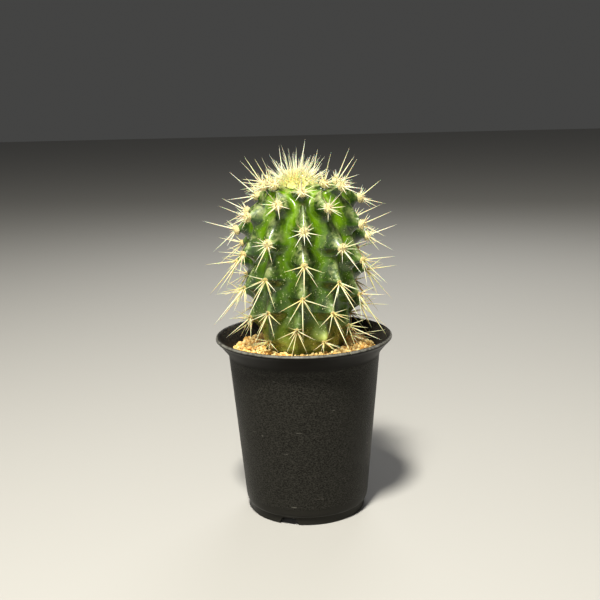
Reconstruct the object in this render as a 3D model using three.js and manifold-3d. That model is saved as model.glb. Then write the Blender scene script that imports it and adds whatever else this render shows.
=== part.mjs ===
// A golden barrel cactus in a round plastic nursery pot, in millimetres, +Z up.
// The origin is on the pot's axis at the surface it stands on, and the plant's most regular side faces -Y.
import * as THREE from "three";
import { mergeVertices } from "three/addons/utils/BufferGeometryUtils.js";
import Module from "manifold-3d";

const wasm = await Module();
wasm.setup();

// Pot: a nominal 9 cm nursery pot
const LIP_RADIUS = 45;
const POT_HEIGHT = 92;
const WALL = 1.2;
const CLEARANCE = 0.35; // between pieces that touch on the real thing
const NECK_RADIUS = 38.6; // outside, where the wall turns out into the lip
const NECK_HEIGHT = 82.4;
const HEEL_RADIUS = 32.0; // outside, where the wall turns in to the foot
const HEEL_HEIGHT = 9.5;
const FOOT_RADIUS = 29.8;
const FOOT_WIDTH = 2.2;
const FOOT_STEP = 4.4; // height at which the foot meets the wall's rounded heel
const FLOOR_UNDERSIDE = 3.8;
const LIP_BEAD = 1.1; // radius of the rolled edge
const NOTCH = { count: 3, first: -18.7, width: 10.8, height: 3.6 };
const DRAIN = { centreRadius: 4.5, radius: 3, count: 6, ring: 17 };
const POT_SIDES = 36;

// Soil: granules heaped a little higher round the stem than at the wall
const SOIL_AT_WALL = 84.0;
const SOIL_AT_STEM = 85.8;
const SOIL_EDGE_RADIUS = 36.9;
const GRAIN = { columns: 72, rows: 7, innerRadius: 23.4, height: 1.6, stray: 0.5 };

// Cactus: it stands a little to the left of the pot's axis. It has one station for each ring of areoles, and
// each ring is turned by half a rib from the next. A station is the radius and height of the groove between
// ribs, and how far a tubercle stands out of it, from the root's tip up to the growing tip.
const PLANT_AXIS = new THREE.Vector3(-0.8, 0, 0);
const STATIONS = [
  [0, 57, 0],
  [4.2, 64, 0],
  [8, 75, 0],
  [16.6, 82, 0.5],
  [20.0, 87.4, 1.8],
  [20.6, 92.4, 4.6],
  [21.6, 99.7, 6.0],
  [22.9, 107.6, 7.2],
  [23.9, 115.6, 8.2],
  [24.5, 123.8, 9.0],
  [24.5, 132.3, 9.4],
  [24.4, 140.6, 9.6],
  [23.9, 148.6, 9.4],
  [22.4, 158.0, 8.8],
  [19.0, 164.4, 7.4],
  [15.2, 165.8, 5.2],
  [9.0, 166.8, 2.2],
  [0, 166.4, 0],
];
const FIRST_STATION = -5; // station 0 is the lowest ring of areoles
const RIBS = 12;
const ROOT_ROWS = [-4.4, -2, -0.6];
const COLUMNS_PER_RIB = 6;
const RIB_BEND = { most: 3.6, at: 6.6, fall: 0.26 }; // degrees that a rib has turned, highest at this station
const CROWDING = 8; // degrees that the youngest tubercles push each other aside
const RIGHT_SQUEEZE = 15; // degrees more, for those of station 9 on the right
const TALL_SIDE = { climb: 0.8, pull: 0.055, shoulder: 0.22 }; // stations it is ahead by, and how slim it is
const TIP_LEAN = 1.4; // of the growing tip to the left
const CROWN_AXIS = PLANT_AXIS.clone().setX(PLANT_AXIS.x - TIP_LEAN);
const LAST_RING = 10; // the highest ring of areoles outside the crown's wool
const CROWN_ROWS = [10.9, 11.2, 11.6, 12]; // stations of the skin under the crown's wool
const UPPER_SLOPE = 1.55; // stations from a tubercle's tip up to where it starts
const UNDERCUT = 0.62; // and from its tip down to its foot
const TUBERCLE_WIDTH = 1.32; // in half rib spacings
const TUBERCLE_ROUNDING = 1.6;
const TUBERCLE_FALL = { rate: 1.8, power: 1.35 }; // how it falls away from its tip into the groove
const RIDGE_SHARE = 0.24; // of a tubercle's height, which the rib keeps between tubercles

// Areoles and spines. A spine's lean is counted from straight out of its areole, and its side from straight
// down. It grows from the face of the pad whose own lean and side are nearest to those that face gives.
const PAD_RADIUS = { old: 1.5, young: 2.4 };
const PAD_FLATNESS = 0.7;
const SPINE_RADIUS = 0.5;
const SPINE_PLAN = [
  { length: 13.5, lean: 22, side: 0, face: [0, 0] },
  { length: 15.5, lean: 28, side: 180, face: [42, 180] },
  ...bothSides({ length: 14.5, lean: 50, side: 38, face: [42, 60], isShortWhenYoung: true }),
  ...bothSides({ length: 12.5, lean: 60, side: 84, face: [71, 98], isShortWhenYoung: true }),
  ...bothSides({ length: 10, lean: 57, side: 146, face: [71, 142], isOftenMissing: true }),
];
const LONGER_WITH_AGE = 9.5; // what the first spine of an old areole has gained
const YOUNG_SHARE = 0.7; // of its full length, that a side spine of a young areole has
const SPINE_ROOM = 0.6; // kept between a spine and another piece
const MAX_DROOP = 27; // degrees that the oldest areoles look down

// Crown
const WOOL_ROWS = [[10.95, 1.4], [11.2, 3.7], [11.55, 6.4], [12, 7.6]]; // station and lift
const WOOL_DOME = { radius: 10, drop: 4.6 }; // how far its top falls from the middle to that radius
const CROWN_SPINES = { count: 34, reach: 7, rootDepth: 4, length: 10, spread: 6, longest: 21 };

const rad = THREE.MathUtils.degToRad;
const UP = new THREE.Vector3(0, 0, 1);
const GOLDEN_ANGLE = Math.PI * (3 - Math.sqrt(5));

// A number from 0 to 1 that is always the same for the same labels.
function draw(a, b = 0, c = 0) {
  const s = Math.sin(a * 12.9898 + b * 78.233 + c * 37.719) * 43758.5453;
  return s - Math.floor(s);
}

function solidOf(geometry) {
  const bare = geometry.index ? geometry.toNonIndexed() : geometry.clone();
  bare.deleteAttribute("normal");
  bare.deleteAttribute("uv");
  const merged = mergeVertices(bare, 1e-4);
  return new wasm.Manifold(new wasm.Mesh({
    numProp: 3,
    vertProperties: merged.attributes.position.array,
    triVerts: new Uint32Array(merged.index.array),
  }));
}

const joined = (solids) => solids.reduce((whole, solid) => whole.add(solid));

function geometryOf(solid) {
  const mesh = solid.getMesh();
  return new THREE.BufferGeometry()
    .setAttribute("position", new THREE.BufferAttribute(mesh.vertProperties, 3))
    .setIndex(new THREE.BufferAttribute(mesh.triVerts, 1))
    .toNonIndexed();
}

// A solid of revolution about Z from a path of radius and height that starts and ends on the axis.
function turned(path, sides = POT_SIDES, arcSteps = 3) {
  return new THREE.LatheGeometry(path.getPoints(arcSteps), sides).rotateX(Math.PI / 2);
}

// Outside radius of the pot's straight wall
function wallRadius(z) {
  const share = (z - HEEL_HEIGHT) / (NECK_HEIGHT - HEEL_HEIGHT);
  return THREE.MathUtils.lerp(HEEL_RADIUS, NECK_RADIUS, share);
}

function potSolid() {
  const floorTop = FLOOR_UNDERSIDE + WALL;
  const beadRadius = LIP_RADIUS - LIP_BEAD;
  const beadHeight = POT_HEIGHT - LIP_BEAD;
  const section = new THREE.Path();
  section.moveTo(0, FLOOR_UNDERSIDE);
  section.lineTo(FOOT_RADIUS - FOOT_WIDTH - 0.4, FLOOR_UNDERSIDE);
  section.lineTo(FOOT_RADIUS - FOOT_WIDTH, 0);
  section.lineTo(FOOT_RADIUS, 0);
  section.lineTo(FOOT_RADIUS + 0.3, FOOT_STEP);
  section.quadraticCurveTo(HEEL_RADIUS - 0.3, FOOT_STEP + 0.8, HEEL_RADIUS, HEEL_HEIGHT);
  section.lineTo(NECK_RADIUS, NECK_HEIGHT);
  section.quadraticCurveTo(NECK_RADIUS + 0.6, NECK_HEIGHT + 2, beadRadius + 0.3, beadHeight - LIP_BEAD);
  section.absarc(beadRadius, beadHeight, LIP_BEAD, -0.4, Math.PI * 0.85, false);
  section.quadraticCurveTo(
    NECK_RADIUS - WALL + 0.9, NECK_HEIGHT + 2.6, NECK_RADIUS - WALL, NECK_HEIGHT - 0.4);
  section.lineTo(HEEL_RADIUS - WALL, HEEL_HEIGHT + 0.4);
  section.quadraticCurveTo(HEEL_RADIUS - WALL - 0.4, floorTop, HEEL_RADIUS - 5, floorTop);
  section.lineTo(0, floorTop);
  let pot = solidOf(turned(section));
  for (const tool of [...notchTools(), ...drainTools()]) pot = pot.subtract(tool);
  return pot;
}

// The arched drain notches in the foot ring
function notchTools() {
  const half = NOTCH.width / 2;
  const arch = new THREE.Shape();
  arch.moveTo(-half, -1);
  arch.lineTo(half, -1);
  arch.quadraticCurveTo(half * 0.8, NOTCH.height, half * 0.45, NOTCH.height);
  arch.lineTo(-half * 0.45, NOTCH.height);
  arch.quadraticCurveTo(-half * 0.8, NOTCH.height, -half, -1);
  return Array.from({ length: NOTCH.count }, (_, i) => solidOf(
    new THREE.ExtrudeGeometry(arch, { depth: 8, bevelEnabled: false, curveSegments: 4 })
      .rotateX(Math.PI / 2)
      .translate(0, -FOOT_RADIUS + 5, 0)
      .rotateZ(rad(NOTCH.first + (360 / NOTCH.count) * i))));
}

function drainTools() {
  const hole = (radius, x, y) => solidOf(
    new THREE.CylinderGeometry(radius, radius, WALL * 3, 12)
      .rotateX(Math.PI / 2)
      .translate(x, y, FLOOR_UNDERSIDE + WALL / 2));
  const ring = Array.from({ length: DRAIN.count }, (_, i) => {
    const a = (2 * Math.PI * i) / DRAIN.count;
    return hole(DRAIN.radius, DRAIN.ring * Math.cos(a), DRAIN.ring * Math.sin(a));
  });
  return [hole(DRAIN.centreRadius, 0, 0), ...ring];
}

// Groove radius, height and tubercle height at a station, on a smooth curve through the table.
function station(n) {
  const at = THREE.MathUtils.clamp(n - FIRST_STATION, 0, STATIONS.length - 1);
  const i = Math.min(Math.floor(at), STATIONS.length - 2);
  const t = at - i;
  const row = (j) => STATIONS[THREE.MathUtils.clamp(j, 0, STATIONS.length - 1)];
  const [a, b, c, d] = [row(i - 1), row(i), row(i + 1), row(i + 2)];
  const blend = (k) => 0.5 * (2 * b[k] + (c[k] - a[k]) * t
    + (2 * a[k] - 5 * b[k] + 4 * c[k] - d[k]) * t * t
    + (3 * b[k] - a[k] - 3 * c[k] + d[k]) * t * t * t);
  return { radius: Math.max(0, blend(0)), height: blend(1), relief: Math.max(0, blend(2)) };
}

// How steeply the flesh grows upwards: level on the sides, and straight up at the growing tip
function riseOf(n) {
  return rad(90 * THREE.MathUtils.clamp((n - 6.5) / 5.5, 0, 1) ** 1.6);
}

// Even ribs carry their areoles at odd stations, and odd ribs at even ones.
const hasAreole = (rib, n) => (((rib + n) % 2) + 2) % 2 === 1 && n >= 0 && n <= LAST_RING;

// How far the surface stands out of the groove, as a share of the tubercle height. Angle in degrees.
function reliefShare(angle, n) {
  const spacing = 360 / RIBS;
  const near = Math.round(angle / spacing);
  let bump = 0;
  for (let rib = near - 1; rib <= near + 1; rib++) {
    const across = Math.abs(angle - rib * spacing) / (spacing / 2) / TUBERCLE_WIDTH;
    for (let tip = Math.floor(n) - 1; tip <= Math.ceil(n) + 1; tip++) {
      if (!hasAreole(((rib % RIBS) + RIBS) % RIBS, tip)) continue;
      const along = n > tip ? (n - tip) / UPPER_SLOPE : (tip - n) / UNDERCUT;
      const away = (across ** TUBERCLE_ROUNDING + along ** TUBERCLE_ROUNDING) ** (1 / TUBERCLE_ROUNDING);
      bump = Math.max(bump, Math.exp(-((TUBERCLE_FALL.rate * away) ** TUBERCLE_FALL.power)));
    }
  }
  const ridge = 0.5 + 0.5 * Math.cos(2 * Math.PI * (angle / spacing - near));
  return RIDGE_SHARE * ridge + (1 - RIDGE_SHARE) * bump;
}

// The real azimuth of a place on the plant, whose ribs would stand at multiples of their spacing
function azimuthOf(angle, n) {
  const bend = RIB_BEND.most - RIB_BEND.fall * (Math.max(n, 0) - RIB_BEND.at) ** 2;
  const crowding = THREE.MathUtils.clamp((n - 6) / 2, 0, 1) * Math.cos((Math.PI * (n - 10)) / 2);
  const atNine = Math.abs(n - 9) < 1 ? Math.cos((Math.PI * (n - 9)) / 2) : 0;
  const squeeze = RIGHT_SQUEEZE * atNine * Math.max(0, Math.sin(rad(angle))) * Math.sin(rad(2 * angle));
  const wander = 2.2 * Math.sin(rad(2 * angle)) + 0.9 * Math.sin(rad(5 * angle) - 1.3 * n);
  return rad(angle + bend + wander - squeeze + CROWDING * crowding * Math.sin(rad(3 * angle)));
}

// From 0 on the plant's right to 1 on its left
const leftness = (angle) => ((1 - Math.sin(rad(angle))) / 2) ** 5;

// The station that a place has really grown to, because the left side is ahead of the right
function grownTo(angle, n) {
  const window = THREE.MathUtils.clamp((n + 2) / 2, 0, 1) * THREE.MathUtils.clamp((9.5 - n) / 3, 0, 1);
  return n + TALL_SIDE.climb * leftness(angle) * window;
}

// The share of its radius that the left side lacks, most of all at its shoulder
function slimness(angle, n) {
  const risen = THREE.MathUtils.clamp((n - 6.5) / 1.5, 0, 1);
  const belowCrown = THREE.MathUtils.clamp((11.2 - n) / 1.5, 0, 1);
  return (TALL_SIDE.pull + TALL_SIDE.shoulder * risen * belowCrown) * leftness(angle);
}

// A point at an azimuth that is counted from the front, -Y, towards the right, +X
function polar(radius, azimuth, z) {
  return new THREE.Vector3(radius * Math.sin(azimuth), -radius * Math.cos(azimuth), z);
}

// A place on the plant's skin, or lifted off it
function onStem(angle, n, lift = 0) {
  const { radius, height, relief } = station(grownTo(angle, n));
  const out = relief * reliefShare(angle, n) + lift;
  const rise = riseOf(grownTo(angle, n));
  const sway = 0.7 * Math.sin(rad(3 * angle) + 0.5 * n) * Math.min(1, relief / 4);
  const level = Math.max(0, radius + out * Math.cos(rise)) * (1 - slimness(angle, n));
  const axis = PLANT_AXIS.clone().lerp(CROWN_AXIS, THREE.MathUtils.clamp((n - 9) / 3, 0, 1));
  return polar(level, azimuthOf(angle, n), height + out * Math.sin(rise) + sway).add(axis);
}

// A solid from points that run in rings between two poles, with each square of its skin split as asked
function closedSkin(points, ringCount, columns, splitsUp) {
  const at = (row, c) => 1 + row * columns + (c % columns);
  const top = ringCount - 1;
  const faces = [];
  for (let c = 0; c < columns; c++) {
    faces.push(0, at(0, c + 1), at(0, c), at(top, c), at(top, c + 1), points.length - 1);
    for (let row = 0; row < top; row++) {
      const [a, b, d, e] = [at(row, c), at(row, c + 1), at(row + 1, c), at(row + 1, c + 1)];
      faces.push(...(splitsUp(row, c) ? [a, b, e, a, e, d] : [a, b, d, b, e, d]));
    }
  }
  return solidOf(new THREE.BufferGeometry().setFromPoints(points).setIndex(faces));
}

// A closed skin round the plant, through rings at each row's station and lift, with a pole at both ends. Its
// squares are split alike on both sides of a rib's crest.
function wrapped(rows) {
  const columns = RIBS * COLUMNS_PER_RIB;
  const ring = ([n, lift]) => Array.from({ length: columns }, (_, c) => onStem((360 / columns) * c, n, lift));
  const inner = rows.slice(1, -1);
  const [low, high] = [rows[0], rows[rows.length - 1]].map(([n, lift]) => onStem(0, n, lift));
  const points = [low, ...inner.flatMap(ring), high];
  return closedSkin(points, inner.length, columns, (row, c) => c % COLUMNS_PER_RIB < COLUMNS_PER_RIB / 2);
}

// The ribbed stem and its root neck
function stemBody() {
  const rows = [FIRST_STATION, ...ROOT_ROWS].map((n) => [n, 0]);
  for (let n = 0; n <= LAST_RING; n++) rows.push([n, 0], [n + 0.4, 0]);
  rows.push(...CROWN_ROWS.map((n) => [n, 0]));
  return wrapped(rows);
}

// A three-sided spine from its root to its tip
function spine(root, direction, length, radius = SPINE_RADIUS) {
  const turn = new THREE.Quaternion().setFromUnitVectors(new THREE.Vector3(0, 1, 0), direction);
  return solidOf(new THREE.ConeGeometry(radius, length, 3)
    .translate(0, length / 2, 0)
    .applyQuaternion(turn)
    .translate(root.x, root.y, root.z));
}

// Where a spine's tip goes, once it has leant away, or been shortened, enough to pass the other pieces
function clearTip(root, direction, length, neighbours) {
  for (const share of [1, 0.8, 0.6]) {
    for (let lean = 0; lean <= 75; lean += 5) {
      const away = root.clone().sub(PLANT_AXIS).setZ(0).normalize();
      if (neighbours.lift) away.lerp(UP, neighbours.lift).normalize();
      const aim = direction.clone().lerp(away, lean / 75).normalize();
      const room = spine(root, aim, length * share + SPINE_ROOM, SPINE_RADIUS + SPINE_ROOM);
      if (neighbours.solids.every((other) => room.intersect(other).isEmpty())) {
        return root.clone().addScaledVector(aim, length * share);
      }
    }
  }
  return null;
}

// The areole's own axes: across its rib, up its rib, and out along its tubercle. The older it is, the more it
// looks down.
function areoleFrame(angle, n) {
  const a = azimuthOf(angle, n);
  const across = new THREE.Vector3(Math.cos(a), Math.sin(a), 0);
  const facing = 0.85 * riseOf(grownTo(angle, n)) - rad(MAX_DROOP * THREE.MathUtils.clamp((8 - n) / 4, 0, 1));
  const out = polar(Math.cos(facing), a, Math.sin(facing));
  const up = new THREE.Vector3().crossVectors(out, across);
  return new THREE.Matrix4().makeBasis(across, up, out).setPosition(onStem(angle, n));
}

// The 20 faces of an icosahedron that has one face up, as triples of corners
function padFaces() {
  const position = new THREE.IcosahedronGeometry(1, 0).attributes.position;
  const corner = (i) => new THREE.Vector3().fromBufferAttribute(position, i);
  const first = corner(0).add(corner(1)).add(corner(2)).normalize();
  const turn = new THREE.Quaternion().setFromUnitVectors(first, UP);
  const face = (i) => [0, 1, 2].map((k) => corner(3 * i + k).applyQuaternion(turn));
  const down = face(0)[0];
  const spin = new THREE.Quaternion().setFromAxisAngle(UP, -Math.PI / 2 - Math.atan2(down.y, down.x));
  return Array.from({ length: 20 }, (_, i) => face(i).map((v) => v.applyQuaternion(spin)));
}
const PAD_FACES = padFaces();

// The two spines that stand alike on either side of an areole
function bothSides({ side, face: [lean, faceSide], ...spine }) {
  return [-1, 1].map((hand) => ({ ...spine, side: hand * side, face: [lean, hand * faceSide] }));
}

// Which spine of the plan, if any, grows from the face of a pad that has this middle
function plannedSpine(middle) {
  const leanOf = ([lean, side]) => polar(Math.sin(rad(lean)), rad(side), Math.cos(rad(lean)));
  return SPINE_PLAN.findIndex(({ face }) => leanOf(face).angleTo(middle) < rad(8));
}

// From 0 for the old areoles of the lower half to 1 for the young ones
const youthOf = (n) => THREE.MathUtils.clamp((n - 4.5) / 1.5, 0, 1);

// One areole: a felt pad whose outer faces each carry a spine, drawn as one closed surface
function areole(rib, n, neighbours) {
  const frame = areoleFrame((360 / RIBS) * rib, n);
  const padRadius = THREE.MathUtils.lerp(PAD_RADIUS.old, PAD_RADIUS.young, youthOf(n));
  const padSize = new THREE.Vector3(padRadius, padRadius, padRadius * PAD_FLATNESS);
  const corners = [];
  for (const face of PAD_FACES) {
    const middle = new THREE.Vector3().add(face[0]).add(face[1]).add(face[2]).divideScalar(3);
    const placed = (v) => v.clone().multiply(padSize).applyMatrix4(frame);
    const [a, b, c] = face.map(placed);
    const root = placed(middle);
    const tip = spineTip(rib, n, plannedSpine(middle), root, frame, neighbours);
    if (!tip) {
      corners.push(a, b, c);
      continue;
    }
    const [p, q, r] = [a, b, c].map((v) => v.clone().sub(root).setLength(SPINE_RADIUS).add(root));
    corners.push(a, b, p, b, q, p, b, c, q, c, r, q, c, a, r, a, p, r, p, q, tip, q, r, tip, r, p, tip);
  }
  return solidOf(new THREE.BufferGeometry().setFromPoints(corners));
}

// Where the tip of one spine of the plan is, or null where it doesn't grow
function spineTip(rib, n, k, root, frame, neighbours) {
  if (k < 0) return null;
  const { length, lean, side, isOftenMissing, isShortWhenYoung } = SPINE_PLAN[k];
  if (isOftenMissing && n < 6 && draw(rib, n, k + 80) < 0.35) return null;
  const leans = rad(lean + 12 * (draw(rib, n, k + 20) - 0.5));
  const turned = rad(side + 17 * (draw(rib, n, k) - 0.5));
  const aim = polar(Math.sin(leans), turned, Math.cos(leans)).transformDirection(frame);
  const gained = k === 0 ? LONGER_WITH_AGE * THREE.MathUtils.clamp((7 - n) / 3, 0, 1) : 0;
  const reach = THREE.MathUtils.clamp(0.72 + 0.1 * n, 0, 1);
  const share = isShortWhenYoung ? THREE.MathUtils.lerp(1, YOUNG_SHARE, youthOf(n)) : 1;
  const grown = (length + gained) * reach * share * (0.88 + 0.24 * draw(rib, n, k + 40));
  return clearTip(root, aim, grown, neighbours);
}

// The tuft of wool that covers the growing tip, with the young spines that stand in it
function crownSolid() {
  const under = CROWN_ROWS.toReversed().map((n) => [n, CLEARANCE]);
  return joined([wrapped([...under, ...WOOL_ROWS]), ...crownSpines()]);
}

// Young spines in a sunflower pattern, leaning out more towards the edge of the wool
function crownSpines() {
  const top = onStem(0, ...WOOL_ROWS[WOOL_ROWS.length - 1]).z;
  return Array.from({ length: CROWN_SPINES.count }, (_, i) => {
    const share = Math.sqrt((i + 0.5) / CROWN_SPINES.count);
    const azimuth = i * GOLDEN_ANGLE;
    const lean = rad(8 + 42 * share + 10 * (draw(i, 3) - 0.5));
    const radius = CROWN_SPINES.reach * share;
    const wool = top - WOOL_DOME.drop * (radius / WOOL_DOME.radius) ** 2.4;
    const root = polar(radius, azimuth, wool - CROWN_SPINES.rootDepth).add(CROWN_AXIS);
    const isLong = i % 4 === 1;
    const length = isLong ? CROWN_SPINES.longest : CROWN_SPINES.length + CROWN_SPINES.spread * draw(i, 7);
    return spine(root, polar(Math.sin(lean), azimuth, Math.cos(lean)), length);
  });
}

// The plain hole that the plant stands in: as wide as its tubercles reach at each station, and clear of them
function rootHole() {
  const widest = (n) => station(n).radius + station(n).relief + 0.5;
  const path = new THREE.Path();
  path.moveTo(0, station(FIRST_STATION).height - 1);
  for (const n of ROOT_ROWS) path.lineTo(widest(n), station(n).height - 0.4);
  path.lineTo(widest(0), station(0).height + 2);
  path.lineTo(0, station(0).height + 2);
  return solidOf(turned(path, RIBS * 4, 1).translate(PLANT_AXIS.x, 0, 0));
}

// The fill, with granules raised on top of it: every other point of the top stands up, by a drawn amount.
function soilSolid() {
  const floorTop = FLOOR_UNDERSIDE + WALL + CLEARANCE;
  const inner = (z) => wallRadius(z) - WALL - CLEARANCE - 0.15;
  const shoulder = NECK_HEIGHT - 1.5;
  const heel = inner(HEEL_HEIGHT) - 0.5;
  const body = [[0, floorTop], [HEEL_RADIUS - 6, floorTop], [heel, HEEL_HEIGHT], [inner(shoulder), shoulder]];
  const rings = body.map((place) => () => place);
  for (let row = 0; row < GRAIN.rows; row++) rings.push((c) => grainPlace(row, c));
  rings.push(() => [0, SOIL_AT_STEM]);
  return rounds(rings, GRAIN.columns).subtract(rootHole());
}

// Radius, height and turn of one point of the soil's top
function grainPlace(row, c) {
  const stray = (salt) => GRAIN.stray * (draw(row, c, salt) - 0.5);
  const share = THREE.MathUtils.clamp((row + 0.5 * stray(1)) / (GRAIN.rows - 1), 0, 1);
  const radius = THREE.MathUtils.lerp(SOIL_EDGE_RADIUS, GRAIN.innerRadius, share);
  const isGrain = (row + c) % 2 === 0;
  const raised = isGrain ? GRAIN.height * (0.55 + 0.45 * draw(row, c, 2)) : 0;
  return [radius, soilHeight(radius) + raised, stray(3)];
}

// Height of the soil's own surface, between the granules
function soilHeight(radius) {
  const t = THREE.MathUtils.inverseLerp(GRAIN.innerRadius, SOIL_EDGE_RADIUS, radius);
  return THREE.MathUtils.lerp(SOIL_AT_STEM, SOIL_AT_WALL, t * t);
}

// A closed skin through rings about Z. A ring gives a radius, a height and a turn in columns for each column.
function rounds(rings, columns) {
  const place = (ring, c) => {
    const [radius, height, turn = 0] = ring(c);
    return polar(radius, (2 * Math.PI * (c + turn)) / columns, height);
  };
  const full = (ring) => Array.from({ length: columns }, (_, c) => place(ring, c));
  const inner = rings.slice(1, -1);
  const points = [place(rings[0], 0), ...inner.flatMap(full), place(rings[rings.length - 1], 0)];
  return closedSkin(points, inner.length, columns, (row, c) => (row + c) % 2 === 0);
}

// The stem with all its areoles. Low spines keep clear of the pot and the soil, and high ones of the crown.
function cactusSolid(pot, soil, crown) {
  const low = { solids: [pot, soil], lift: 0.35 };
  const high = { solids: [crown] };
  const open = { solids: [] };
  const pieces = [stemBody()];
  for (let n = 0; n <= LAST_RING; n++) {
    for (let rib = 0; rib < RIBS; rib++) {
      if (hasAreole(rib, n)) pieces.push(areole(rib, n, n <= 3 ? low : n >= 8 ? high : open));
    }
  }
  return joined(pieces);
}

function mesh(name, solid, color, roughness) {
  const material = new THREE.MeshStandardMaterial({ color, roughness, metalness: 0 });
  const made = new THREE.Mesh(geometryOf(solid), material);
  made.name = name;
  return made;
}

const pot = potSolid();
const soil = soilSolid();
const crown = crownSolid();
const cactus = cactusSolid(pot, soil, crown);

const pottedCactus = new THREE.Group();
pottedCactus.add(
  mesh("pot", pot, 0x262523, 0.5),
  mesh("soil", soil, 0xd9a862, 0.95),
  mesh("cactus", cactus, 0x3f7a1f, 0.45),
  mesh("crown", crown, 0xf3e9a0, 0.9),
);
export default pottedCactus;
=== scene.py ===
# %% [markdown]
# # A potted golden barrel cactus
# This script dresses the solids of a young barrel cactus in a black nursery pot. The solids already have the
# right sizes and places, so everything here is built on the same axes and takes the place of one of them. A
# cactus is a lesson in repeats: ribs, tubercles, felt pads and spines all follow one simple rule, and most of
# the work is to write that rule once and let each piece read it. Sizes are written in millimetres, and each
# mesh is in metres.

# %% The frame and the shared helpers
import math

import bmesh
import bpy
import numpy as np
from mathutils import Matrix, Vector


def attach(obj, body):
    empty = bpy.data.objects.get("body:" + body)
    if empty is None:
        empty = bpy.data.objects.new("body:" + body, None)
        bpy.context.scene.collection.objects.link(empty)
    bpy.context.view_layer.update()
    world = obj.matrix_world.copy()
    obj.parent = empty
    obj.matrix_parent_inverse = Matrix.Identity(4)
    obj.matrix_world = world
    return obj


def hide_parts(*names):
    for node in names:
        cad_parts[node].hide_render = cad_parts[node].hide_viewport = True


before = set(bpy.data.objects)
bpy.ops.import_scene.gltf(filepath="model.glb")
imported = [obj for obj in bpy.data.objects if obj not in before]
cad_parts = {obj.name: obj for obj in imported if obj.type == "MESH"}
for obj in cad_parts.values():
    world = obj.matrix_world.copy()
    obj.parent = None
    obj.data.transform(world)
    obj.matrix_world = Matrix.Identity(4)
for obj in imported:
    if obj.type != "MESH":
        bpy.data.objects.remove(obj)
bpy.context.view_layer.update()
MM = 0.001
print("solids:", sorted(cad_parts))


def plug(node, inputs):
    """Sets a node's inputs. Each takes a plain value, or is linked to another node's output socket."""
    for key, value in inputs.items():
        if isinstance(value, bpy.types.NodeSocket):
            node.id_data.links.new(value, node.inputs[key])
        else:
            node.inputs[key].default_value = value


def add(tree, kind, inputs=None, **settings):
    """Adds a node, with its settings and inputs."""
    node = tree.nodes.new(kind)
    for name, value in settings.items():
        setattr(node, name, value)
    plug(node, inputs or {})
    return node


def chain(kind, inputs, **settings):
    """Adds a node to the tree that its inputs come from."""
    tree = next(value.id_data for value in inputs.values() if isinstance(value, bpy.types.NodeSocket))
    return add(tree, kind, inputs, **settings)


def new_object(name, data):
    thing = bpy.data.objects.new(name, data)
    bpy.context.scene.collection.objects.link(thing)
    return thing


def new_piece(name, points, edges=(), faces=()):
    """An object with a plain mesh, from places in mm."""
    mesh = bpy.data.meshes.new(name)
    mesh.from_pydata(np.array(points, float) * MM, edges, faces)
    return new_object(name, mesh)


def finish_piece(piece, node):
    """A finished piece is shaded smooth, rides on the body, and stands for one of the solids, which is
    hidden.
    """
    piece.data.polygons.foreach_set("use_smooth", [True] * len(piece.data.polygons))
    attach(piece, "root")
    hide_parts(node)
    print(piece.name, "has", sum(len(face.vertices) - 2 for face in piece.data.polygons), "triangles")


# %% [markdown]
# ## The camera
# The photograph was taken from about half a metre away and from a little above the plant's tip, with the
# camera tipped down by 12 degrees and rolled by about one. These values come from the ellipses of the pot's
# lip and foot: how open they are gives the tilt, and how much they differ gives the distance. A matrix is
# used, because turning a camera about its own line of sight is easier to say after the tilt than as three
# angles.

# %% The camera
CAMERA_PLACE = Vector((-0.00155, -0.497, 0.216))
CAMERA_TILT, CAMERA_ROLL = math.radians(90 - 12.1), math.radians(-1.32)
LENS_MM, SENSOR_MM, NEAREST = 60, 36, 0.01

camera = new_object("camera", bpy.data.cameras.new("camera"))
camera.data.lens, camera.data.sensor_width, camera.data.clip_start = LENS_MM, SENSOR_MM, NEAREST
tilt, roll = Matrix.Rotation(CAMERA_TILT, 4, "X"), Matrix.Rotation(CAMERA_ROLL, 4, "Z")
camera.matrix_world = Matrix.Translation(CAMERA_PLACE) @ tilt @ roll
bpy.context.scene.camera = camera
print("camera stands", round(CAMERA_PLACE.length, 3), "m from the pot's foot")

# %% [markdown]
# ## The floor and the light
# The object stands on a plain pale floor. One small lamp stands high in front and a little to the left, which
# is where the short shadows in the photograph point away from. A weak broad one low in front lifts the shaded
# sides, one behind picks out the spines, and a dim pale world keeps the dark pot from going black.

# %% The floor and the light
FLOOR_REACH, FLOOR_COLOR = 4000, (0.50, 0.49, 0.47, 1)
WORLD_COLOR, WORLD_STRENGTH = (0.82, 0.82, 0.80, 1), 0.07
LAMP_TARGET = Vector((0, 0, 0.11))
LAMPS = (("key", (-0.12, -0.46, 0.98), 0.16, 18.5, (1.0, 0.97, 0.87)),
         ("fill", (-0.30, -0.95, 0.35), 0.60, 1.0, (1.0, 0.98, 0.95)),
         ("rim", (0.15, 0.75, 0.75), 0.50, 2.4, (1.0, 1.0, 1.0)))

corners = [(x * FLOOR_REACH, y * FLOOR_REACH, 0) for x, y in ((-1, -1), (1, -1), (1, 1), (-1, 1))]
floor = new_piece("floor", corners, faces=[(0, 1, 2, 3)])
floor_material = bpy.data.materials.new("pale_floor")
floor_material.use_nodes = True
plug(floor_material.node_tree.nodes["Principled BSDF"], {"Base Color": FLOOR_COLOR, "Roughness": 0.8})
floor.data.materials.append(floor_material)

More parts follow.
